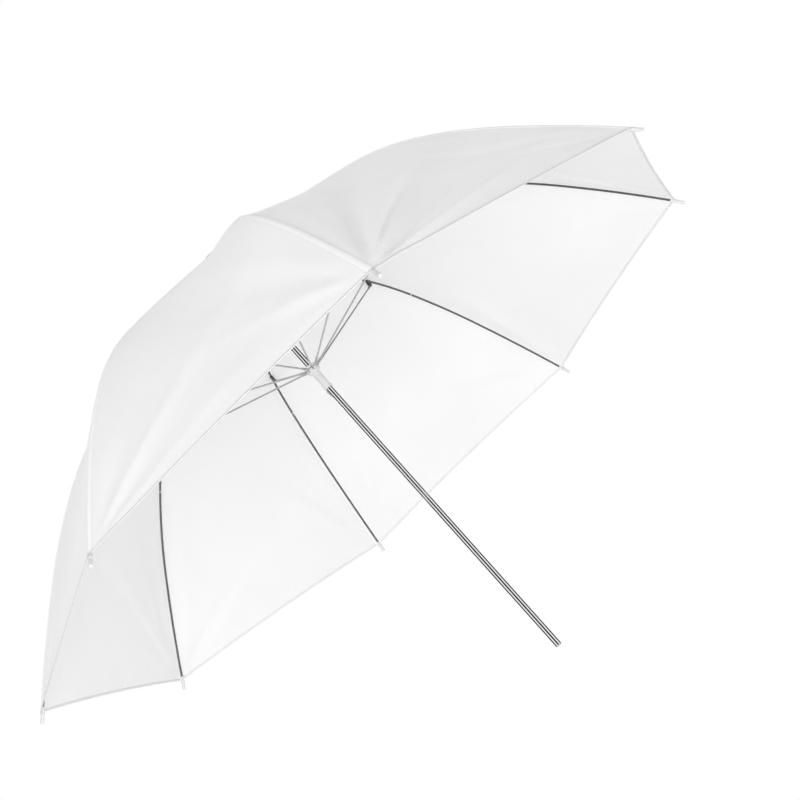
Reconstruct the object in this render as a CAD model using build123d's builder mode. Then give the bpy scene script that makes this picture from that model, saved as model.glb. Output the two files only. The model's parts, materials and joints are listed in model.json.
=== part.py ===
from build123d import *

"""White shoot-through photographic umbrella, open.

The origin is the centre of the shaft tube's free end. +Z runs up the shaft to the crown, and rib 1 lies
over +X, with the other ribs every 45 degrees round the shaft. All sizes are in millimetres.

A rib and its stretcher make a triangle with the shaft. Both pivots beside the shaft are PIVOT_R from its
axis, and both sides of the triangle are equally long, so the canopy folds with the runner going down.
"""

import os
from math import asin, atan2, cos, degrees, radians, sin, tan

# Driving dimensions
RIBS = 8
RIM_R = 495.0  # radius of the canopy's corners
SHAFT_R = 4.0  # the standard 8 mm spigot of a studio umbrella
SHAFT_WALL = 0.7
SHAFT_TOP = 642.0
HOLDING_LENGTH = 380.0  # bare tube that an umbrella holder clamps
CRIMP_DEPTH = 0.25
CRIMP_WIDTH = 2.0

PIVOT_R = 6.8  # from the shaft's axis to the hinge wire in the crown and in the runner
PIVOT_Z = 639.0  # hinge wire of the crown
RING_WIRE_R = 0.5
EYE_R = 1.5
EYE_HOLE_R = 0.6
TAB_THICKNESS = 1.2
TAB_LENGTH = 9.0  # flattened end of a rib or stretcher, from its eye to the round wire
NOTCH_R = 8.5
NOTCH_SLOT_WIDTH = 1.6
NOTCH_SLOT_INNER_R = 5.2
NOTCH_GROOVE_INNER_R = 6.25
NOTCH_GROOVE_HEIGHT = 1.1
NOTCH_BELOW = 6.0  # crown notch, below and above its hinge wire
NOTCH_ABOVE = 2.1

RIB_WIRE_R = 1.25
RIB_SLOPES = (18.6, 21.4, 37.5, 46.4, 51.0)  # degrees below level, at the ends of a rib's four arcs
RIB_RADII = (PIVOT_R, 225.0, 310.0, 396.0, RIM_R)  # from the shaft's axis, at the same five points
RIB_STRAIGHT = 32.0  # from its eye to where a rib begins to bend
JOINT_R = 247.5  # the stretcher joint's clip sits halfway out, on the second arc
JOINT_ARC = 1
JOINT_DROP = 9.0  # from the rib's centre line to the stretcher's rivet

CLIP_LENGTH = 6.0
CLIP_HALF_WIDTH = 1.8
CLIP_EAR_R = 1.9
CLIP_SLOT_HALF_WIDTH = 0.9
CLIP_BORE_R = 1.4
RIVET_R = 0.8
RIVET_HEAD_R = 1.4
RIVET_HEAD = 0.45

STRETCHER_WIRE_R = 1.1
STRETCHER_EYE_R = 1.7
STRETCHER_TAB_THICKNESS = 1.4
STRETCHER_TAB_LENGTH = 7.0

TIP_COVER = 6.0  # of the rib's end inside its plastic tip
TIP_LENGTH = 13.0  # beyond the canopy's corner
TIP_SOCKET_R = 2.1
TIP_COLLAR_R = 2.6
TIP_COLLAR_AT = 1.0  # beyond the end of the rib
TIP_COLLAR_LENGTH = 2.0
TIP_NOSE_R = 1.45

RUNNER_BORE_R = 4.2
RUNNER_SLEEVE_R = 5.0
RUNNER_FLARE_R = 5.5
RUNNER_FLARE_HEIGHT = 2.0
RUNNER_LENGTH = 36.0
RUNNER_ABOVE = 3.6  # runner's top, above its hinge wire
RUNNER_HEAD = 8.5

FABRIC_THICKNESS = 0.5
FABRIC_OFFSET = 2.7  # from a rib's centre line to the middle of the fabric over it
FABRIC_GAP = 0.45  # left at each seam and fold line between half gores
FABRIC_START_R = 10.0
PANEL_SAG = 8.0  # how far a panel's middle hangs inside the straight line between its ribs
HEM_SCALLOP = 4.0
GORE_STATIONS = 5  # sections along each of a rib's arcs

CAP_R = 10.5
CAP_HEIGHT = 1.2
PATCH_R = 9.2
PATCH_THICKNESS = 0.5
PRESSED_FIT = 0.02  # radial room between pieces that don't move on each other

CATCH_LENGTH = 22.0
CATCH_THICKNESS = 1.2
CATCH_RISE = 2.6  # how far the catch stands out of the tube
CATCH_FOOT = (0.8, 2.8)  # inner and outer edge of its foot, from the shaft's axis
CATCH_LIP = 1.2
CATCH_PIN_UP = 2.0  # its pin, above its foot
CATCH_GAP = 0.6  # under the runner when the canopy is open
CATCH_WINDOW = (1.9, 21.5)  # width and height of the slot it stands out of
CATCH_PIN_R = 0.6
STOP_PIN_R = 0.8
STOP_PIN_LENGTH = 11.0
STOP_GAP = 0.4  # over the runner when the canopy is open
PLUG_DEPTH = 8.0
PLUG_DOME = 1.6
HINGE_ROOM = 0.1  # radial room of a pin in the eye that turns on it

HALF_PANEL = 180.0 / RIBS

os.makedirs("parts", exist_ok=True)


def write(part, label):
    """Writes one finished piece to its own file."""
    part.label = label
    export_step(part, f"parts/{label}.step")


def write_round(part, name):
    """Writes a piece once for each rib, turned about the shaft."""
    for number in range(RIBS):
        write(part.rotate(Axis.Z, number * 360 / RIBS), f"{name}_{number + 1}")


def rib_arcs():
    """Start radius, start height, start slope, end slope and arc radius of each of a rib's arcs."""
    arcs = []
    z = PIVOT_Z
    for first, last, r, r_end in zip(RIB_SLOPES, RIB_SLOPES[1:], RIB_RADII, RIB_RADII[1:]):
        bend = (r_end - r) / (sin(radians(last)) - sin(radians(first)))
        arcs.append((r, z, first, last, bend))
        z -= (r_end - r) * tan(radians(first + last) / 2)
    return arcs


def on_arc(arc, share):
    """Radius, height and slope on a rib's centre line, at a share of the way along one arc."""
    r, z, first, last, bend = arc
    slope = first + share * (last - first)
    out = sin(radians(slope)) - sin(radians(first))
    down = cos(radians(first)) - cos(radians(slope))
    return r + bend * out, z - bend * down, slope


def share_at(arc, radius):
    """Share of the way along one arc at which a rib is a given distance from the shaft's axis."""
    r, _, first, last, bend = arc
    slope = degrees(asin(sin(radians(first)) + (radius - r) / bend))
    return (slope - first) / (last - first)


def along(point, slope, distance):
    """The (radius, height) point a distance down a slope from another."""
    return point[0] + distance * cos(radians(slope)), point[1] - distance * sin(radians(slope))


def outward(point, slope, distance):
    """The (radius, height) point a distance square out of a rib that has that slope."""
    return point[0] + distance * sin(radians(slope)), point[1] + distance * cos(radians(slope))


def facing(slope):
    """Direction down a slope, in the plane of a rib."""
    return cos(radians(slope)), -sin(radians(slope))


def tab_middle(eye, slope, length):
    """Middle of a flattened end that runs from its eye down a slope."""
    return along(eye, slope, length / 2)


def gore_section(arc, share, scallop):
    """Plane and width of a half gore's cross-section between a rib and the middle of its panel."""
    r, z, slope = on_arc(arc, share)
    edge_r, edge_z = outward((r, z), slope, FABRIC_OFFSET)
    sag = PANEL_SAG * sin(radians(180 * (r - PIVOT_R) / (RIM_R - PIVOT_R)))
    middle = outward((edge_r * cos(radians(HALF_PANEL)), edge_z), slope, -sag)
    middle_r, middle_z = along(middle, slope, -scallop)
    edge = Vector(edge_r, 0, edge_z)
    fold = Vector(middle_r * cos(radians(HALF_PANEL)), middle_r * sin(radians(HALF_PANEL)), middle_z)
    across = fold - edge
    lift = Vector(sin(radians(slope)), 0, cos(radians(slope)))
    plane = Plane(origin=(edge + fold) / 2, x_dir=across, z_dir=across.cross(lift))
    return plane, across.length - 2 * FABRIC_GAP


ARCS = rib_arcs()
TIP_R, TIP_Z, TIP_SLOPE = on_arc(ARCS[-1], 1.0)
CLIP_R, CLIP_Z, CLIP_SLOPE = on_arc(ARCS[JOINT_ARC], share_at(ARCS[JOINT_ARC], JOINT_R))
JOINT = outward((CLIP_R, CLIP_Z), CLIP_SLOPE, -JOINT_DROP)
RUNNER_PIVOT_Z = 2 * JOINT[1] - PIVOT_Z
STRETCHER_SLOPE = degrees(atan2(JOINT[1] - RUNNER_PIVOT_Z, JOINT[0] - PIVOT_R))
RUNNER_TOP = RUNNER_PIVOT_Z + RUNNER_ABOVE
RUNNER_BOTTOM = RUNNER_TOP - RUNNER_LENGTH
NOTCH_TOP = PIVOT_Z + NOTCH_ABOVE
CATCH_TOP = RUNNER_BOTTOM - CATCH_GAP
STRETCHER_LENGTH = (JOINT[0] - PIVOT_R) / cos(radians(STRETCHER_SLOPE))
STOP_PIN_Z = RUNNER_TOP + STOP_GAP + STOP_PIN_R
CATCH_PIN_X = -(CATCH_FOOT[0] + CATCH_FOOT[1]) / 2
CATCH_PIN_Z = CATCH_TOP - CATCH_LENGTH + CATCH_PIN_UP
CATCH_PIN_LENGTH = 2 * (SHAFT_R**2 - CATCH_PIN_X**2) ** 0.5 - 0.4
SOCKET_R = SHAFT_R - SHAFT_WALL - PRESSED_FIT
PLUG_R = SHAFT_R - 0.35
CAP_BOTTOM = NOTCH_TOP + PATCH_THICKNESS + 3 * PRESSED_FIT


# Shaft: a drawn steel tube. A crimp marks the end of the length that a holder clamps
with BuildPart() as shaft:
    with BuildSketch():
        Circle(SHAFT_R)
        Circle(SHAFT_R - SHAFT_WALL, mode=Mode.SUBTRACT)
    extrude(amount=SHAFT_TOP)
    with BuildSketch(Plane.XY.offset(HOLDING_LENGTH)):
        Circle(SHAFT_R)
        Circle(SHAFT_R - CRIMP_DEPTH, mode=Mode.SUBTRACT)
    extrude(amount=CRIMP_WIDTH, mode=Mode.SUBTRACT)
    # the catch's slot, on the side away from rib 1
    with BuildSketch(Plane.YZ.offset(-SHAFT_R)):
        with Locations((0, CATCH_TOP + 1 - CATCH_WINDOW[1] / 2)):
            Rectangle(*CATCH_WINDOW)
    extrude(amount=SHAFT_R / 2, both=True, mode=Mode.SUBTRACT)
    # cross holes of the stop pin and the catch's pin
    with BuildSketch(Plane.XZ):
        with Locations((0, STOP_PIN_Z)):
            Circle(STOP_PIN_R + PRESSED_FIT)
        with Locations((CATCH_PIN_X, CATCH_PIN_Z)):
            Circle(CATCH_PIN_R + PRESSED_FIT)
    extrude(amount=SHAFT_R, both=True, mode=Mode.SUBTRACT)
write(shaft.part, "shaft")

# End plug: closes the shaft's free end with a low dome
with BuildPart() as end_plug:
    with BuildSketch():
        Circle(SOCKET_R)
    extrude(amount=PLUG_DEPTH)
    with BuildSketch():
        Circle(PLUG_R)
    extrude(amount=-PLUG_DOME)
    fillet(end_plug.edges().sort_by(Axis.Z)[0], PLUG_DOME * 0.95)
write(end_plug.part, "end_plug")

# Crown notch: the fixed round head that the ribs hinge in
with BuildPart() as crown_notch:
    with BuildSketch(Plane.XY.offset(PIVOT_Z - NOTCH_BELOW)):
        Circle(NOTCH_R)
        Circle(SHAFT_R + PRESSED_FIT, mode=Mode.SUBTRACT)
    extrude(amount=NOTCH_BELOW + NOTCH_ABOVE)
    with BuildSketch(Plane.XY.offset(PIVOT_Z - NOTCH_BELOW)):
        with PolarLocations(NOTCH_SLOT_INNER_R + NOTCH_R / 2, RIBS):
            Rectangle(NOTCH_R, NOTCH_SLOT_WIDTH)
    extrude(amount=NOTCH_BELOW + NOTCH_ABOVE, mode=Mode.SUBTRACT)
    with BuildSketch(Plane.XY.offset(PIVOT_Z)):
        Circle(NOTCH_R + 1)
        Circle(NOTCH_GROOVE_INNER_R, mode=Mode.SUBTRACT)
    extrude(amount=NOTCH_GROOVE_HEIGHT / 2, both=True, mode=Mode.SUBTRACT)
write(crown_notch.part, "crown_notch")

# Runner: the sliding sleeve, with the same kind of head at its top and a flare at its bottom
with BuildPart() as runner:
    with BuildSketch(Plane.XZ):
        with BuildLine():
            Polyline(
                (RUNNER_BORE_R, RUNNER_BOTTOM),
                (RUNNER_FLARE_R, RUNNER_BOTTOM),
                (RUNNER_FLARE_R, RUNNER_BOTTOM + RUNNER_FLARE_HEIGHT),
                (RUNNER_SLEEVE_R, RUNNER_BOTTOM + 2 * RUNNER_FLARE_HEIGHT),
                (RUNNER_SLEEVE_R, RUNNER_TOP - RUNNER_HEAD - 1.5),
                (NOTCH_R, RUNNER_TOP - RUNNER_HEAD),
                (NOTCH_R, RUNNER_TOP),
                (RUNNER_BORE_R, RUNNER_TOP),
                close=True,
            )
        make_face()
    revolve(axis=Axis.Z)
    with BuildSketch(Plane.XY.offset(RUNNER_TOP - RUNNER_HEAD + 1)):
        with PolarLocations(NOTCH_SLOT_INNER_R + NOTCH_R / 2, RIBS):
            Rectangle(NOTCH_R, NOTCH_SLOT_WIDTH)
    extrude(amount=RUNNER_HEAD, mode=Mode.SUBTRACT)
    with BuildSketch(Plane.XY.offset(RUNNER_PIVOT_Z)):
        Circle(NOTCH_R + 1)
        Circle(NOTCH_GROOVE_INNER_R, mode=Mode.SUBTRACT)
    extrude(amount=NOTCH_GROOVE_HEIGHT / 2, both=True, mode=Mode.SUBTRACT)
write(runner.part, "runner")

# Hinge wires: one closed ring threads the eyes of all ribs, another those of all stretchers
for ring_name, ring_z in (("crown_ring", PIVOT_Z), ("runner_ring", RUNNER_PIVOT_Z)):
    with BuildPart() as ring:
        with BuildSketch(Plane.XZ):
            with Locations((PIVOT_R, ring_z)):
                Circle(RING_WIRE_R)
        revolve(axis=Axis.Z)
    write(ring.part, ring_name)

# Crown patch: the round reinforcement under the hole in the canopy's middle
with BuildPart() as crown_patch:
    with BuildSketch(Plane.XY.offset(NOTCH_TOP + PRESSED_FIT)):
        Circle(PATCH_R)
        Circle(SHAFT_R + PRESSED_FIT, mode=Mode.SUBTRACT)
    extrude(amount=PATCH_THICKNESS)
write(crown_patch.part, "crown_patch")

# Crown cap: a low moulded cap pressed over the shaft's top
with BuildPart() as crown_cap:
    with BuildSketch(Plane.XY.offset(CAP_BOTTOM)):
        Circle(CAP_R)
    extrude(amount=CAP_HEIGHT)
    fillet(crown_cap.edges().group_by(Axis.Z)[-1], CAP_HEIGHT * 0.6)
    with BuildSketch(Plane.XY.offset(CAP_BOTTOM)):
        Circle(SHAFT_R + PRESSED_FIT)
    extrude(amount=SHAFT_TOP + PRESSED_FIT - CAP_BOTTOM, mode=Mode.SUBTRACT)
write(crown_cap.part, "crown_cap")

# Stop pin: a cross pin that the runner's top meets when the canopy is open
with BuildPart() as stop_pin:
    with BuildSketch(Plane.XZ):
        with Locations((0, STOP_PIN_Z)):
            Circle(STOP_PIN_R)
    extrude(amount=STOP_PIN_LENGTH / 2, both=True)
write(stop_pin.part, "stop_pin")

# Catch: a flat sprung blade inside the shaft, whose lip holds the runner up
with BuildPart() as catch:
    with BuildSketch(Plane.XZ):
        Polygon(
            (-CATCH_FOOT[0], CATCH_TOP - CATCH_LENGTH),
            (-CATCH_FOOT[1], CATCH_TOP - CATCH_LENGTH),
            (-SHAFT_R - CATCH_RISE, CATCH_TOP - CATCH_LIP),
            (-SHAFT_R - CATCH_RISE, CATCH_TOP),
            (-CATCH_FOOT[0], CATCH_TOP),
            align=None,
        )
        with Locations((CATCH_PIN_X, CATCH_PIN_Z)):
            Circle(CATCH_PIN_R + HINGE_ROOM, mode=Mode.SUBTRACT)
    extrude(amount=CATCH_THICKNESS / 2, both=True)
write(catch.part, "catch")

with BuildPart() as catch_pin:
    with BuildSketch(Plane.XZ):
        with Locations((CATCH_PIN_X, CATCH_PIN_Z)):
            Circle(CATCH_PIN_R)
    extrude(amount=CATCH_PIN_LENGTH / 2, both=True)
write(catch_pin.part, "catch_pin")

# Rib: round spring steel wire bent to four arcs, with a flattened eye at the crown
straight_share = RIB_STRAIGHT / (ARCS[0][4] * radians(RIB_SLOPES[1] - RIB_SLOPES[0]))
straight_r, straight_z, wire_slope = on_arc(ARCS[0], straight_share)
with BuildPart() as rib:
    with BuildLine(Plane.XZ) as rib_line:
        wire_end = (straight_r, straight_z)
        Line(along(wire_end, wire_slope, TAB_LENGTH - RIB_STRAIGHT), wire_end)
        for arc in ARCS:
            wire_arc = JernArc(wire_end, facing(wire_slope), arc[4], wire_slope - arc[3])
            wire_end = wire_arc @ 1
            wire_slope = arc[3]
    with BuildSketch(Plane(origin=rib_line.line @ 0, z_dir=rib_line.line % 0)):
        Circle(RIB_WIRE_R)
    sweep()
    with BuildSketch(Plane.XZ):
        with Locations(tab_middle((PIVOT_R, PIVOT_Z), RIB_SLOPES[0], TAB_LENGTH + 1)):
            SlotCenterToCenter(TAB_LENGTH + 1, 2 * EYE_R, rotation=-RIB_SLOPES[0])
    extrude(amount=TAB_THICKNESS / 2, both=True)
    with BuildSketch(Plane.XZ):
        with Locations((PIVOT_R, PIVOT_Z)):
            Circle(EYE_HOLE_R)
    extrude(amount=TAB_THICKNESS, both=True, mode=Mode.SUBTRACT)
write_round(rib.part, "rib")

# Rib tip: a moulded cap over the rib's end, with a collar that the canopy's corner is held by
tip_plane = Plane(
    origin=(TIP_R, 0, TIP_Z),
    x_dir=(0, 1, 0),
    z_dir=(cos(radians(TIP_SLOPE)), 0, -sin(radians(TIP_SLOPE))),
)
with BuildPart() as rib_tip:
    with BuildSketch(tip_plane.offset(-TIP_COVER)):
        Circle(TIP_SOCKET_R)
    extrude(amount=TIP_COVER + TIP_LENGTH)
    with BuildSketch(tip_plane.offset(TIP_COLLAR_AT)):
        Circle(TIP_COLLAR_R)
    extrude(amount=TIP_COLLAR_LENGTH)
    with BuildSketch(tip_plane.offset(TIP_COLLAR_AT)):
        Circle(TIP_NOSE_R)
    extrude(amount=TIP_LENGTH - TIP_COLLAR_AT)
    fillet(rib_tip.edges().sort_by(Axis.X)[-1], TIP_NOSE_R * 0.7)
    with BuildSketch(tip_plane.offset(-TIP_COVER)):
        Circle(RIB_WIRE_R + PRESSED_FIT)
    extrude(amount=TIP_COVER + PRESSED_FIT, mode=Mode.SUBTRACT)
write_round(rib_tip.part, "rib_tip")

# Joint clip: a sheet clip crimped on the rib, whose two ears carry the stretcher's rivet
clip_plane = Plane(
    origin=(CLIP_R, 0, CLIP_Z),
    x_dir=(cos(radians(CLIP_SLOPE)), 0, -sin(radians(CLIP_SLOPE))),
    z_dir=(0, -1, 0),
)
with BuildPart() as clip:
    with BuildSketch(clip_plane):
        Rectangle(CLIP_LENGTH, 2 * CLIP_HALF_WIDTH)
        with Locations((0, -JOINT_DROP)):
            Circle(CLIP_EAR_R)
        make_hull()
    extrude(amount=CLIP_HALF_WIDTH, both=True)
    with BuildSketch(clip_plane):
        with Locations((0, -CLIP_HALF_WIDTH - JOINT_DROP)):
            Rectangle(2 * CLIP_LENGTH, 2 * JOINT_DROP)
    extrude(amount=CLIP_SLOT_HALF_WIDTH, both=True, mode=Mode.SUBTRACT)
    with BuildSketch(Plane(origin=clip_plane.origin, z_dir=clip_plane.x_dir)):
        Circle(CLIP_BORE_R)
    extrude(amount=CLIP_LENGTH, both=True, mode=Mode.SUBTRACT)
    with BuildSketch(clip_plane):
        with Locations((0, -JOINT_DROP)):
            Circle(RIVET_R + PRESSED_FIT)
    extrude(amount=CLIP_LENGTH, both=True, mode=Mode.SUBTRACT)

with BuildPart() as rivet:
    with BuildSketch(clip_plane):
        with Locations((0, -JOINT_DROP)):
            Circle(RIVET_R)
    extrude(amount=CLIP_HALF_WIDTH + PRESSED_FIT, both=True)
    for side in (1, -1):
        with BuildSketch(clip_plane.offset(side * (CLIP_HALF_WIDTH + PRESSED_FIT))):
            with Locations((0, -JOINT_DROP)):
                Circle(RIVET_HEAD_R)
        extrude(amount=side * RIVET_HEAD)
write_round(Compound([clip.part.solid(), rivet.part.solid()]), "joint_clip")

# Stretcher: straight round wire with a flattened eye at each end
stretcher_line = Plane(
    origin=(PIVOT_R, 0, RUNNER_PIVOT_Z),
    x_dir=(0, 1, 0),
    z_dir=(cos(radians(STRETCHER_SLOPE)), 0, sin(radians(STRETCHER_SLOPE))),
)
with BuildPart() as stretcher:
    with BuildSketch(stretcher_line.offset(TAB_LENGTH)):
        Circle(STRETCHER_WIRE_R)
    extrude(amount=STRETCHER_LENGTH - TAB_LENGTH - STRETCHER_TAB_LENGTH)
    with BuildSketch(Plane.XZ):
        with Locations(tab_middle((PIVOT_R, RUNNER_PIVOT_Z), -STRETCHER_SLOPE, TAB_LENGTH + 1)):
            SlotCenterToCenter(TAB_LENGTH + 1, 2 * EYE_R, rotation=STRETCHER_SLOPE)
    extrude(amount=TAB_THICKNESS / 2, both=True)
    with BuildSketch(Plane.XZ):
        with Locations(tab_middle(JOINT, -STRETCHER_SLOPE, -STRETCHER_TAB_LENGTH - 1)):
            SlotCenterToCenter(STRETCHER_TAB_LENGTH + 1, 2 * EYE_R, rotation=STRETCHER_SLOPE)
        with Locations(JOINT):
            Circle(STRETCHER_EYE_R)
    extrude(amount=STRETCHER_TAB_THICKNESS / 2, both=True)
    with BuildSketch(Plane.XZ):
        with Locations((PIVOT_R, RUNNER_PIVOT_Z)):
            Circle(EYE_HOLE_R)
        with Locations(JOINT):
            Circle(RIVET_R + HINGE_ROOM)
    extrude(amount=TAB_THICKNESS, both=True, mode=Mode.SUBTRACT)
write_round(stretcher.part, "stretcher")

# Half gores: each of the canopy's panels in two halves, from a rib to the fold line in the panel's middle
with BuildPart() as half_gore:
    for arc_number, arc in enumerate(ARCS):
        for station in range(GORE_STATIONS):
            share = station / GORE_STATIONS
            if arc_number == 0 and station == 0:
                share = (FABRIC_START_R - PIVOT_R) / (RIB_RADII[1] - PIVOT_R)
            plane, width = gore_section(arc, share, 0)
            with BuildSketch(plane):
                Rectangle(width, FABRIC_THICKNESS)
    plane, width = gore_section(ARCS[-1], 1.0, HEM_SCALLOP)
    with BuildSketch(plane):
        Rectangle(width, FABRIC_THICKNESS)
    loft()
write_round(half_gore.part, "half_gore_left")
write_round(mirror(half_gore.part, about=Plane.XZ), "half_gore_right")
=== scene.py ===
"""Looks of a white shoot-through photographic umbrella, built round its CAD frame.

The canopy is made here: eight gores, each in two halves that meet at the fold line in the panel's
middle, with hems, seams and thread ties. The CAD's metal and plastic pieces get their materials here.
Everything is in metres, in the CAD's frame: +Z runs up the shaft, and rib 1 lies over +X.
"""

import json
import math

import bpy
import numpy as np
from mathutils import Matrix, Vector


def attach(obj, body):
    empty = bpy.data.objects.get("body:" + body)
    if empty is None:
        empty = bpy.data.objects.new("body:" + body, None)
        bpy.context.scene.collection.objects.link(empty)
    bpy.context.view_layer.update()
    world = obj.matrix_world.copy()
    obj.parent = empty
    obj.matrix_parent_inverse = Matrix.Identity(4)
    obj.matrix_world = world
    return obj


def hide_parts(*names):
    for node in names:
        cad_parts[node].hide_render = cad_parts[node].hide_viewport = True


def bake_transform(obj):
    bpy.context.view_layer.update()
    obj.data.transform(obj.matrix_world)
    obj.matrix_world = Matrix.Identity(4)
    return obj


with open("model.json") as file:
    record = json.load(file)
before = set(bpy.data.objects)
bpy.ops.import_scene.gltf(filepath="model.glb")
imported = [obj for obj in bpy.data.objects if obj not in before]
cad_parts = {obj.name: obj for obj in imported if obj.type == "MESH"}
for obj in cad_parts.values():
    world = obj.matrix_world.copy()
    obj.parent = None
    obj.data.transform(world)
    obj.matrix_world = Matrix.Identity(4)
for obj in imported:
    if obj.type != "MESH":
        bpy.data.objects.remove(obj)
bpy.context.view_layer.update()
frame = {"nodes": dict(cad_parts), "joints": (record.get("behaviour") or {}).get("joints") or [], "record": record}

RIBS = 8
STEP = 2 * math.pi / RIBS
PIVOT = Vector(next(j for j in frame["joints"] if j["name"] == "canopy_fold")["pos_m"])
RIB_SLOPES = np.radians((18.6, 21.4, 37.5, 46.4, 51.0))
RIB_RADII = np.array((PIVOT.x, 0.225, 0.310, 0.396, 0.495))
RIB_BENDS = np.diff(RIB_RADII) / np.diff(np.sin(RIB_SLOPES))
RIB_ENDS = np.concatenate([[0], np.cumsum(RIB_BENDS * np.diff(RIB_SLOPES))])
RIB_LENGTH = RIB_ENDS[-1]

FABRIC_LIFT = 0.0021  # from a rib's centre line to the canopy over it
PANEL_SAG = 0.008
HEM_SCALLOP = 0.004
CANOPY_START = 0.0035  # along a rib, from its hinge to the canopy's middle hole
ROWS = 120  # along a half gore
COLUMNS = 30  # across it
SURFACE_STEP = 1e-4  # for slopes of the surface without creases
CREASED_STEP = 3e-4  # for slopes of the creased surface
NOT_ZERO = 1e-6  # keeps a division from failing at a corner

# Creases: each range is drawn from at random. Angles are from the rib, in radians
CREASE_SEED = 100
CORNER_CREASES = 6
CREASE_HEIGHT = 0.0012
CREASE_WIDTH = 0.010  # no crease is narrower
CREASE_AIM = (0.10, 1.0)
CREASE_SPREAD = (0.045, 0.12)
CREASE_SIZE = (0.5, 1.2)
CREASE_REACH = (0.05, 0.16)
CROWN_CREASES = 4
CROWN_AIM = (0.15, 0.85)  # across the gore
CROWN_SIZE = (0.4, 1.0)
CROWN_HEIGHT = 0.6  # of a corner crease's
CROWN_START = (0.05, 0.2)
CROWN_SPREAD = 0.07  # across the gore
CROWN_REACH = 0.08
CORNER_FOLDS = (  # angle from the rib, half width, height and reach of the folds at a slack corner
    (0.15, 0.06, 0.0018, 0.060),
    (0.46, 0.10, -0.0038, 0.085),
    (0.84, 0.09, 0.0062, 0.100),
    (1.12, 0.08, -0.0034, 0.075),
    (1.37, 0.06, 0.0030, 0.130),
)
FOLD_WIDTH = 0.006  # no fold is narrower
SLACK = {(7, 0): 1.6, (6, 0): 0.4, (6, 1): 0.12, (5, 0): 0.5}  # by gore and side; others are tauter
TAUT = 0.07

HEM_WIDTH = 0.0030
HEM_THICKNESS = 0.0005
HEM_OVERHANG = 0.0004  # past the canopy's edge
HEM_OUTLINE = (  # back from the edge and up, in widths and thicknesses
    (-1, 0.0), (-0.97, 0.5), (-0.5, 0.5), (-0.05, 0.5),
    (0.0, 0.0), (-0.05, -0.5), (-0.5, -0.5), (-0.97, -0.5),
)
SEAM_HALF_WIDTH = 0.0045
SEAM_WIDEST = 0.2  # of the gore's width, near the crown
SEAM_THICKNESS = 0.0009
SEAM_START = 0.004  # from the canopy's middle hole
SEAM_OVERHANG = 0.0006
SEAM_ROWS = 110
SEAM_OUTLINE = (  # sideways and up, in half widths and thicknesses
    (-1, 0), (-0.9, 0.34), (-0.55, 0.5), (-0.2, 0.56), (0.2, 0.56), (0.55, 0.5), (0.9, 0.34),
    (1, 0), (0.9, -0.3), (0.5, -0.4), (0, -0.4), (-0.5, -0.4), (-0.9, -0.3),
)
TIE_SHARE = 0.555  # of a rib's length, from its hinge
TIE_TURNS = 4
TIE_STEPS = 20  # in a turn
TIE_PITCH = 0.0006
TIE_R = 0.00158
TIE_OVER_SEAM = 1.55  # how much further out the thread runs over the seam
KNOT_BELOW = 0.0018  # from the rib's centre line
KNOT_ALONG = 0.0012
KNOT_HALF_WIDTH = 0.0005
KNOT_HEIGHT = 0.0008
THREAD_END = 0.003  # how far the loose end runs down, and along the rib
THREAD_R = 0.00022

BRIGHT_SIDE = (0.330, -0.818, -0.470)  # the soft light is strongest from here
SOFT_LIGHT = (0.585, 0.875)  # its strength from the opposite side, and from there
CARD_FRONT = (0.550, -0.835, 0.0)  # the dark cards stand either side of this direction
CARD_STOPS = (  # how far a direction is from behind (0) to the front (1), and the tone there
    (0, 1.0), (0.10, 1.0), (0.13, 0.02), (0.64, 0.02), (0.68, 1.0), (0.935, 1.0), (0.955, 0.02), (1, 0.02),
)
LAMPS = (  # name, place, size and power
    ("key", (1.08, -2.67, -0.62), 1.3, 45.0),
    ("fill", (-1.8, -1.6, 2.6), 1.8, 3.0),
    ("bounce", (0.65, -0.65, -1.05), 1.4, 10.0),
)
LAMP_AIM = Vector((0, 0, 0.45))
FLOOR_HEIGHT = -2.0  # clear of the lamps
FLOOR_R = 6.0

RIM_CENTRE = Vector((0, 0, 0.32225))
CAMERA_PLACE = Vector((2.030, -3.080, -0.916))  # from the rim's centre, in the rim's radii
CAMERA_RIGHT = Vector((0.54178, 0.53239, -0.65041))
CAMERA_UP = Vector((0.66908, 0.19520, 0.71710))
CAMERA_BACK = Vector((0.50874, -0.82369, -0.25046))
CAMERA_LENS = 70.58
CAMERA_SENSOR = 36.0


# ---------------------------------------------------------------- canopy surface


def rib_line(s):
    """Radius, height and slope of a rib's centre line, at distances s along it from its hinge."""
    s = np.asarray(s, float)
    arc = np.clip(np.searchsorted(RIB_ENDS, s, side="right") - 1, 0, len(RIB_BENDS) - 1)
    heights = PIVOT.z - np.concatenate(
        [[0], np.cumsum(np.diff(RIB_RADII) * np.tan((RIB_SLOPES[:-1] + RIB_SLOPES[1:]) / 2))]
    )
    bend, first = RIB_BENDS[arc], RIB_SLOPES[arc]
    slope = first + (s - RIB_ENDS[arc]) / bend
    r = RIB_RADII[arc] + bend * (np.sin(slope) - np.sin(first))
    z = heights[arc] - bend * (np.cos(first) - np.cos(slope))
    return r, z, slope


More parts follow.
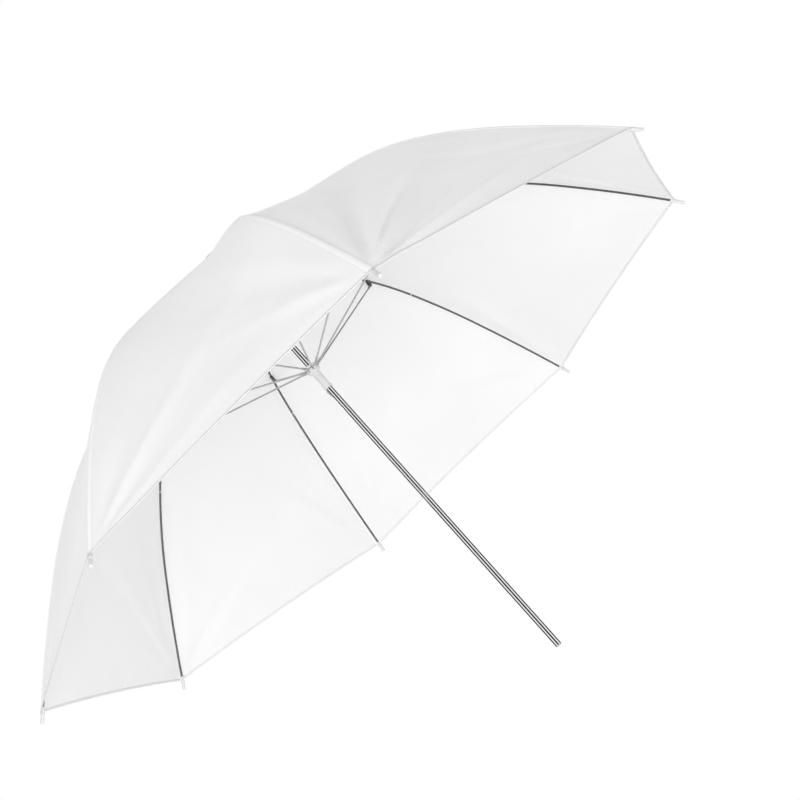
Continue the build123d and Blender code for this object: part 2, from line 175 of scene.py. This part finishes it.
def flat_gore_point(s, f, gore):
    """The gore's surface before it is creased, at s along its ribs and f (0 to 1) across it.

    It also gives a share that is 0 at the ribs and 1 in the gore's middle.
    """
    across = 4 * f * (1 - f)
    s = s * (1 - HEM_SCALLOP / RIB_LENGTH * across)
    r, z, slope = rib_line(s)
    r, z = r + FABRIC_LIFT * np.sin(slope), z + FABRIC_LIFT * np.cos(slope)
    a, b = gore * STEP, (gore + 1) * STEP
    x = r * ((1 - f) * math.cos(a) + f * math.cos(b))
    y = r * ((1 - f) * math.sin(a) + f * math.sin(b))
    middle = (a + b) / 2
    dip = np.arctan(np.tan(slope) / math.cos(STEP / 2))
    sag = PANEL_SAG * np.sin(np.pi * np.clip(s / RIB_LENGTH, 0, 1)) * across
    x = x - sag * np.sin(dip) * math.cos(middle)
    y = y - sag * np.sin(dip) * math.sin(middle)
    return np.stack([x, y, z - sag * np.cos(dip)], -1), across


def bell(x):
    return np.exp(-(x**2))


def corner_ridge(turn, reach, aim, narrow, size, length, width):
    """A ridge out of a corner: aimed at an angle, highest at a length from it, no narrower than width."""
    fade = (reach / length) * np.exp(1 - reach / length)
    return size * fade * bell((turn - aim) / np.hypot(narrow, width / (reach + NOT_ZERO)))


def creases(s, f, gore):
    """Height of the folds and creases that run out of a gore's corners and from its crown end."""
    rng = np.random.default_rng(CREASE_SEED + gore)
    total = np.zeros_like(s + f)
    chord = 2 * rib_line(s)[0] * math.sin(STEP / 2)
    for side in (0, 1):
        x = (f if side == 0 else 1 - f) * chord  # metres from the rib
        y = RIB_LENGTH - s  # metres up from the corner
        reach = np.hypot(x, y)
        turn = np.arctan2(x, y + NOT_ZERO)
        slack = SLACK.get((gore, side), TAUT)
        for aim, narrow, size, length in CORNER_FOLDS:
            total += corner_ridge(turn, reach, aim, narrow, slack * size, length, FOLD_WIDTH)
        for _ in range(CORNER_CREASES):
            aim = rng.uniform(*CREASE_AIM)
            narrow = rng.uniform(*CREASE_SPREAD)
            size = rng.uniform(*CREASE_SIZE) * CREASE_HEIGHT
            length = rng.uniform(*CREASE_REACH)
            sign = rng.choice((-1, 1))
            total += corner_ridge(turn, reach, aim, narrow, sign * size, length, CREASE_WIDTH)
    for _ in range(CROWN_CREASES):
        aim = rng.uniform(*CROWN_AIM)
        size = rng.uniform(*CROWN_SIZE) * CROWN_HEIGHT * CREASE_HEIGHT
        start = rng.uniform(*CROWN_START)
        total += size * bell((f - aim) / CROWN_SPREAD) * bell((s - start) / CROWN_REACH)
    return total


def gore_point(s, f, gore):
    """The finished surface of a gore, with its creases, and its outward normals."""
    s, f = np.broadcast_arrays(np.asarray(s, float), np.asarray(f, float))
    tiny = SURFACE_STEP
    base, across = flat_gore_point(s, f, gore)
    along = flat_gore_point(s + tiny, f, gore)[0] - flat_gore_point(s - tiny, f, gore)[0]
    over = flat_gore_point(s, f + tiny, gore)[0] - flat_gore_point(s, f - tiny, gore)[0]
    normal = np.cross(along, over)
    normal /= np.linalg.norm(normal, axis=-1, keepdims=True)
    edge = np.clip(across * 3, 0, 1)
    return base + normal * (creases(s, f, gore) * edge)[..., None], normal


def shaded_normals(s, f, gore):
    """Normals of the finished surface, creases included."""
    tiny = CREASED_STEP
    along = gore_point(s + tiny, f, gore)[0] - gore_point(s - tiny, f, gore)[0]
    over = gore_point(s, f + tiny, gore)[0] - gore_point(s, f - tiny, gore)[0]
    normal = np.cross(along, over)
    return normal / np.linalg.norm(normal, axis=-1, keepdims=True)


# ---------------------------------------------------------------- meshes


def new_object(name, points, faces, material):
    mesh = bpy.data.meshes.new(name)
    mesh.from_pydata([tuple(p) for p in points], [], faces)
    mesh.materials.append(material)
    mesh.polygons.foreach_set("use_smooth", [True] * len(mesh.polygons))
    mesh.update()
    obj = bpy.data.objects.new(name, mesh)
    bpy.context.scene.collection.objects.link(obj)
    return obj


def grid_faces(rows, columns, closed=False, flip=False):
    """Quads of a grid of rows x columns points; closed joins the last column to the first."""
    faces = []
    for i in range(rows - 1):
        for j in range(columns if closed else columns - 1):
            k = (j + 1) % columns
            quad = (i * columns + j, (i + 1) * columns + j, (i + 1) * columns + k, i * columns + k)
            faces.append(quad[::-1] if flip else quad)
    return faces


def bend_between(obj):
    """Bakes the fabric's transform into its mesh."""
    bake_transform(obj)


def half_span(number, side, columns):
    """The gore that a rib's half gore is part of, its places across it, and its shares of the fold."""
    share = np.linspace(0, 1, columns)
    if side == "left":
        return number, share / 2, share
    return (number - 1) % RIBS, 1 - share / 2, share


def make_half_gore(number, side, material):
    gore, f, share = half_span(number, side, COLUMNS)
    s = CANOPY_START + (RIB_LENGTH - CANOPY_START) * np.linspace(0, 1, ROWS)
    s, f = np.meshgrid(s, f, indexing="ij")
    points, _ = gore_point(s, f, gore)
    obj = new_object(
        f"canopy_{side}_{number + 1}",
        points.reshape(-1, 3),
        grid_faces(ROWS, COLUMNS, flip=side == "right"),
        material,
    )
    normals = shaded_normals(s, f, gore).reshape(-1, 3)
    obj.data.normals_split_custom_set_from_vertices([tuple(n) for n in normals])
    bend_between(obj)
    obj.visible_glossy = False  # so that the chrome mirrors the dark cards past the canopy
    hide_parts(f"half_gore_{side}_{number + 1}")
    return obj


def make_hem(number, side, material):
    """The hem: the cloth's edge turned up on itself, a flat hollow band, open where two halves meet."""
    gore, f, share = half_span(number, side, COLUMNS)
    edge = RIB_LENGTH + HEM_OVERHANG
    points = []
    for place in f:
        for back, up in HEM_OUTLINE:
            point, normal = gore_point(edge + back * HEM_WIDTH, place, gore)
            points.append(point + normal * up * HEM_THICKNESS)
    around = len(HEM_OUTLINE)
    faces = grid_faces(COLUMNS, around, closed=True, flip=side == "left")
    rib_end = tuple(range(around))  # the other end meets the next half gore's hem
    faces.append(rib_end if side == "left" else rib_end[::-1])
    obj = new_object(f"hem_{side}_{number + 1}", points, faces, material)
    bend_between(obj)
    return obj


def make_seam(number, material):
    """The seam over a rib: two gores' edges turned and sewn together, a low rounded band."""
    points = []
    for s in np.linspace(CANOPY_START + SEAM_START, RIB_LENGTH + SEAM_OVERHANG, SEAM_ROWS):
        chord = 2 * float(rib_line(s)[0]) * math.sin(STEP / 2)
        reach = min(SEAM_HALF_WIDTH, SEAM_WIDEST * chord)
        for t, up in SEAM_OUTLINE:
            f = abs(t) * reach / chord
            gore = number if t >= 0 else (number - 1) % RIBS
            point, normal = gore_point(s, f if t >= 0 else 1 - f, gore)
            points.append(point + normal * up * SEAM_THICKNESS)
    around = len(SEAM_OUTLINE)
    faces = grid_faces(SEAM_ROWS, around, closed=True)
    faces += [tuple(range(around))[::-1], tuple(range(len(points) - around, len(points)))]
    obj = new_object(f"seam_{number + 1}", points, faces, material)
    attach(obj, f"rib_{number + 1}")
    return obj


def thread(name, path, material):
    """A round thread along points, as a mesh."""
    curve = bpy.data.curves.new(name, "CURVE")
    curve.dimensions = "3D"
    curve.bevel_depth = THREAD_R
    curve.bevel_resolution = 2
    curve.use_fill_caps = True
    spline = curve.splines.new("POLY")
    spline.points.add(len(path) - 1)
    for point, place in zip(spline.points, path):
        point.co = (*place, 1)
    shape = bpy.data.objects.new(name, curve)
    mesh = bpy.data.meshes.new_from_object(shape)
    bpy.data.objects.remove(shape)
    mesh.name = name
    mesh.materials.clear()
    mesh.materials.append(material)
    mesh.polygons.foreach_set("use_smooth", [True] * len(mesh.polygons))
    obj = bpy.data.objects.new(name, mesh)
    bpy.context.scene.collection.objects.link(obj)
    return obj


def make_tie(number, material):
    """Thread tied round a rib, which holds the seam down on it."""
    r, z, slope = (float(v) for v in rib_line(TIE_SHARE * RIB_LENGTH))
    a = number * STEP
    outward = Vector((math.sin(slope) * math.cos(a), math.sin(slope) * math.sin(a), math.cos(slope)))
    along = Vector((math.cos(slope) * math.cos(a), math.cos(slope) * math.sin(a), -math.sin(slope)))
    beside = along.cross(outward)
    middle = Vector((r * math.cos(a), r * math.sin(a), z))
    path = []
    for i in range(TIE_TURNS * TIE_STEPS + 1):
        angle = 2 * math.pi * i / TIE_STEPS
        lift = 1 if math.cos(angle) < 0 else TIE_OVER_SEAM
        around = outward * math.cos(angle) * lift * TIE_R + beside * math.sin(angle) * TIE_R
        path.append(middle + around + along * (i / TIE_STEPS - TIE_TURNS / 2) * TIE_PITCH)
    knot = middle - outward * KNOT_BELOW + along * KNOT_ALONG
    path += [knot + beside * KNOT_HALF_WIDTH, knot - outward * KNOT_HEIGHT]
    path.append(knot + (along - outward) * THREAD_END)
    obj = thread(f"tie_{number + 1}", path, material)
    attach(obj, f"rib_{number + 1}")
    return obj


# ---------------------------------------------------------------- materials


WEAVE_SCALE = 1700.0  # sets the weave's bands about 0.2 mm apart, and its cells about 0.6 mm


def grey(tone):
    return (tone, tone, tone)


class Nodes:
    """The node tree of a material or of the world, with short calls to add and join its nodes."""

    def __init__(self, owner, output="ShaderNodeOutputMaterial"):
        owner.use_nodes = True
        self.owner = owner
        self.tree = owner.node_tree
        self.tree.nodes.clear()
        self.out = self.add(output)

    def add(self, kind, **values):
        node = self.tree.nodes.new(kind)
        for key, value in values.items():
            if key in node.inputs:
                node.inputs[key].default_value = value
            else:
                setattr(node, key, value)
        return node

    def join(self, source, target):
        self.tree.links.new(source, target)

    def place(self, scale=(1, 1, 1)):
        """Object coordinates, stretched by scale."""
        where = self.add("ShaderNodeTexCoord")
        stretch = self.add("ShaderNodeMapping", Scale=scale)
        self.join(where.outputs["Object"], stretch.inputs["Vector"])
        return stretch.outputs["Vector"]

    def noise(self, vector, scale, detail=3.0, roughness=0.5):
        node = self.add("ShaderNodeTexNoise", Scale=scale, Detail=detail, Roughness=roughness)
        self.join(vector, node.inputs["Vector"])
        return node.outputs["Fac"]

    def ramp(self, value, low, high):
        """Maps a value's middle range onto low..high."""
        node = self.add("ShaderNodeMapRange")
        node.inputs["From Min"].default_value = 0.3
        node.inputs["From Max"].default_value = 0.7
        node.inputs["To Min"].default_value = low
        node.inputs["To Max"].default_value = high
        self.join(value, node.inputs["Value"])
        return node.outputs["Result"]

    def mix_colour(self, value, low, high):
        node = self.add("ShaderNodeMix", data_type="RGBA")
        node.inputs[6].default_value = (*low, 1)
        node.inputs[7].default_value = (*high, 1)
        self.join(value, node.inputs[0])
        return node.outputs[2]

    def bump(self, height, strength, distance):
        node = self.add("ShaderNodeBump", Strength=strength, Distance=distance)
        self.join(height, node.inputs["Height"])
        return node.outputs["Normal"]


def nylon(name, white, through):
    """White nylon taffeta that lets a share of the light through: fine weave, faint clouds, soft sheen."""
    n = Nodes(bpy.data.materials.new(name))
    here = n.place()
    cloud = n.ramp(n.noise(here, 9.0, 4.0), 0.0, 1.0)
    tint = n.mix_colour(cloud, grey(white * 0.975), grey(white))
    weave = n.add("ShaderNodeTexWave", Scale=WEAVE_SCALE, Distortion=0.4, Detail=1.0)
    weave.bands_direction = "Z"
    n.join(here, weave.inputs["Vector"])
    cross = n.add("ShaderNodeTexVoronoi", Scale=WEAVE_SCALE)
    n.join(here, cross.inputs["Vector"])
    both = n.add("ShaderNodeMath", operation="ADD")
    n.join(weave.outputs["Fac"], both.inputs[0])
    n.join(cross.outputs["Distance"], both.inputs[1])
    crumple = n.noise(here, 38.0, 5.0, 0.55)
    fine = n.bump(both.outputs[0], 0.12, 0.0001)
    soft = n.add("ShaderNodeBump", Strength=0.18, Distance=0.004)
    n.join(crumple, soft.inputs["Height"])
    n.join(fine, soft.inputs["Normal"])
    cloth = n.add("ShaderNodeBsdfPrincipled", Roughness=0.62)
    cloth.inputs["Sheen Weight"].default_value = 0.25
    cloth.inputs["Sheen Roughness"].default_value = 0.4
    cloth.inputs["Specular IOR Level"].default_value = 0.3
    n.join(tint, cloth.inputs["Base Color"])
    n.join(soft.outputs["Normal"], cloth.inputs["Normal"])
    glow = n.add("ShaderNodeBsdfTranslucent")
    n.join(tint, glow.inputs["Color"])
    n.join(soft.outputs["Normal"], glow.inputs["Normal"])
    mix = n.add("ShaderNodeMixShader", Fac=through)
    n.join(cloth.outputs["BSDF"], mix.inputs[1])
    n.join(glow.outputs["BSDF"], mix.inputs[2])
    n.join(mix.outputs[0], n.out.inputs["Surface"])
    return n.owner


def metal(name, dark, light, rough, grain, stretch=(1, 1, 1), metallic=1.0, bump=0.08):
    """Metal whose tone and polish vary along fine drawn or rolled lines."""
    n = Nodes(bpy.data.materials.new(name))
    here = n.place(stretch)
    streak = n.noise(here, grain, 4.0)
    tone = n.mix_colour(n.ramp(streak, 0.0, 1.0), dark, light)
    shine = n.ramp(n.noise(n.place(), grain * 0.3, 5.0), rough[0], rough[1])
    body = n.add("ShaderNodeBsdfPrincipled", Metallic=metallic)
    n.join(tone, body.inputs["Base Color"])
    n.join(shine, body.inputs["Roughness"])
    n.join(n.bump(streak, bump, 0.0002), body.inputs["Normal"])
    n.join(body.outputs["BSDF"], n.out.inputs["Surface"])
    return n.owner


def plastic(name, dark, light, rough):
    """Moulded white plastic: faint flow marks, a little light scattered under its skin."""
    n = Nodes(bpy.data.materials.new(name))
    here = n.place()
    flow = n.noise(here, 120.0, 4.0)
    skin = n.noise(here, 1500.0, 2.0)
    body = n.add("ShaderNodeBsdfPrincipled")
    body.inputs["Subsurface Weight"].default_value = 0.25
    body.inputs["Subsurface Scale"].default_value = 0.001
    body.inputs["Subsurface Radius"].default_value = (1.0, 0.9, 0.8)
    n.join(n.mix_colour(n.ramp(flow, 0.0, 1.0), dark, light), body.inputs["Base Color"])
    n.join(n.ramp(flow, rough[0], rough[1]), body.inputs["Roughness"])
    n.join(n.bump(skin, 0.06, 0.0001), body.inputs["Normal"])
    n.join(body.outputs["BSDF"], n.out.inputs["Surface"])
    return n.owner


def ground(name):
    """A matt pale floor, very faintly clouded."""
    n = Nodes(bpy.data.materials.new(name))
    speck = n.ramp(n.noise(n.place(), 3.0, 4.0), 0.0, 1.0)
    body = n.add("ShaderNodeBsdfPrincipled", Roughness=0.8)
    n.join(n.mix_colour(speck, grey(0.87), grey(0.90)), body.inputs["Base Color"])
    n.join(body.outputs["BSDF"], n.out.inputs["Surface"])
    return n.owner


CANOPY = nylon("canopy_nylon_look", white=0.94, through=0.37)
HEM = nylon("hem_nylon_look", white=0.90, through=0.40)
SEAM = nylon("seam_nylon_look", white=0.965, through=0.09)
THREAD = plastic("thread_look", (0.66, 0.66, 0.65), (0.76, 0.76, 0.75), rough=(0.6, 0.8))
PLASTIC = plastic("white_plastic_look", (0.62, 0.62, 0.615), (0.69, 0.69, 0.685), rough=(0.28, 0.4))
CAP_PLASTIC = plastic("cap_plastic_look", (0.88, 0.88, 0.88), (0.94, 0.94, 0.94), rough=(0.4, 0.5))
CHROME = metal(
    "chrome_look", (0.84, 0.84, 0.85), (0.92, 0.92, 0.92), rough=(0.04, 0.09), grain=60.0,
    stretch=(6, 6, 0.4), bump=0.03,
)
RIB_STEEL = metal(
    "rib_steel_look", (0.14, 0.14, 0.145), (0.23, 0.23, 0.235), rough=(0.25, 0.4), grain=400.0,
    metallic=0.9,
)
CLIP_STEEL = metal(
    "clip_steel_look", (0.15, 0.15, 0.155), (0.24, 0.24, 0.245), rough=(0.3, 0.5), grain=700.0,
    metallic=0.7,
)
ZINC = metal(
    "zinc_look", (0.50, 0.50, 0.51), (0.62, 0.62, 0.63), rough=(0.3, 0.45), grain=500.0,
    metallic=0.6,
)
SPRING = metal("spring_wire_look", (0.45, 0.46, 0.47), (0.6, 0.6, 0.61), rough=(0.2, 0.35), grain=900.0)
LOOKS = {
    "shaft_chrome": CHROME,
    "rib_steel": RIB_STEEL,
    "clip_steel": CLIP_STEEL,
    "stretcher_steel": ZINC,
    "spring_wire": SPRING,
    "white_plastic": PLASTIC,
    "canopy_nylon": HEM,
}


def dress_cad():
    """Gives every CAD node the look of its slot in the record."""
    for entry in frame["record"]["subparts"]:
        node = frame["nodes"][entry["node"]]
        look = CAP_PLASTIC if entry["node"] == "crown_cap" else LOOKS[entry["material_slot"]]
        for slot in node.material_slots:
            slot.material = look


# ---------------------------------------------------------------- canopy


def make_canopy():
    for number in range(RIBS):
        for side in ("left", "right"):
            gore = make_half_gore(number, side, CANOPY)
            hem = make_hem(number, side, HEM)
        make_seam(number, SEAM)
        make_tie(number, THREAD)


# ---------------------------------------------------------------- stage


def make_world():
    """A white studio: a plain backdrop, soft light that is stronger from one side, and dark cards.

    Only glossy surfaces see the cards, which draw the dark lines along the chrome shaft.
    """
    world = bpy.data.worlds.new("studio")
    bpy.context.scene.world = world
    n = Nodes(world, "ShaderNodeOutputWorld")
    towards = n.add("ShaderNodeTexCoord").outputs["Generated"]

    side = n.add("ShaderNodeVectorMath", operation="DOT_PRODUCT")
    side.inputs[1].default_value = BRIGHT_SIDE
    n.join(towards, side.inputs[0])
    soft = n.add("ShaderNodeMapRange")
    soft.inputs["From Min"].default_value = -1.0
    soft.inputs["To Min"].default_value = SOFT_LIGHT[0]
    soft.inputs["To Max"].default_value = SOFT_LIGHT[1]
    n.join(side.outputs["Value"], soft.inputs["Value"])

    level = n.add("ShaderNodeVectorMath", operation="MULTIPLY")
    level.inputs[1].default_value = (1, 1, 0)
    n.join(towards, level.inputs[0])
    compass = n.add("ShaderNodeVectorMath", operation="NORMALIZE")
    n.join(level.outputs[0], compass.inputs[0])
    front = n.add("ShaderNodeVectorMath", operation="DOT_PRODUCT")
    front.inputs[1].default_value = CARD_FRONT
    n.join(compass.outputs[0], front.inputs[0])
    share = n.add("ShaderNodeMapRange")
    share.inputs["From Min"].default_value = -1.0
    n.join(front.outputs["Value"], share.inputs["Value"])
    cards = n.add("ShaderNodeValToRGB")
    ramp = cards.color_ramp.elements
    for place, tone in CARD_STOPS:
        stop = ramp[0] if place == 0 else ramp[-1] if place == 1 else ramp.new(place)
        stop.color = (tone, tone, tone, 1)
    n.join(share.outputs["Result"], cards.inputs["Fac"])

    ray = n.add("ShaderNodeLightPath")
    lit = n.add("ShaderNodeMix", data_type="RGBA")
    n.join(ray.outputs["Is Glossy Ray"], lit.inputs[0])
    n.join(soft.outputs["Result"], lit.inputs[6])
    n.join(cards.outputs["Color"], lit.inputs[7])
    shown = n.add("ShaderNodeMix", data_type="RGBA")
    shown.inputs[7].default_value = (1, 1, 1, 1)
    n.join(ray.outputs["Is Camera Ray"], shown.inputs[0])
    n.join(lit.outputs[2], shown.inputs[6])
    sky = n.add("ShaderNodeBackground")
    n.join(shown.outputs[2], sky.inputs["Color"])
    n.join(sky.outputs["Background"], n.out.inputs["Surface"])


def make_stage():
    """The floor, the studio round it and three lamps that nothing mirrors."""
    bpy.ops.mesh.primitive_circle_add(
        vertices=96, radius=FLOOR_R, fill_type="NGON", location=(0, 0, FLOOR_HEIGHT)
    )
    floor = bpy.context.object
    floor.name = "floor"
    floor.data.materials.append(ground("floor_look"))

    make_world()
    for name, place, size, power in LAMPS:
        light = bpy.data.lights.new(name, "AREA")
        light.size = size
        light.energy = power
        lamp = bpy.data.objects.new(name, light)
        lamp.location = place
        aim = LAMP_AIM - Vector(place)
        lamp.visible_camera = False
        lamp.visible_glossy = False
        lamp.rotation_euler = aim.to_track_quat("-Z", "Y").to_euler()
        bpy.context.scene.collection.objects.link(lamp)


def make_camera():
    """The photograph's view: from below the rim, with the picture's up direction rolled off the shaft's."""
    camera = bpy.data.cameras.new("camera")
    camera.sensor_width = CAMERA_SENSOR
    camera.lens = CAMERA_LENS
    seer = bpy.data.objects.new("camera", camera)
    turned = Matrix((CAMERA_RIGHT, CAMERA_UP, CAMERA_BACK)).transposed().to_4x4()
    seer.matrix_world = Matrix.Translation(RIM_CENTRE + float(RIB_RADII[-1]) * CAMERA_PLACE) @ turned
    bpy.context.scene.collection.objects.link(seer)
    bpy.context.scene.camera = seer
    bpy.context.scene.view_settings.view_transform = "Standard"


dress_cad()
make_canopy()
make_stage()
make_camera()
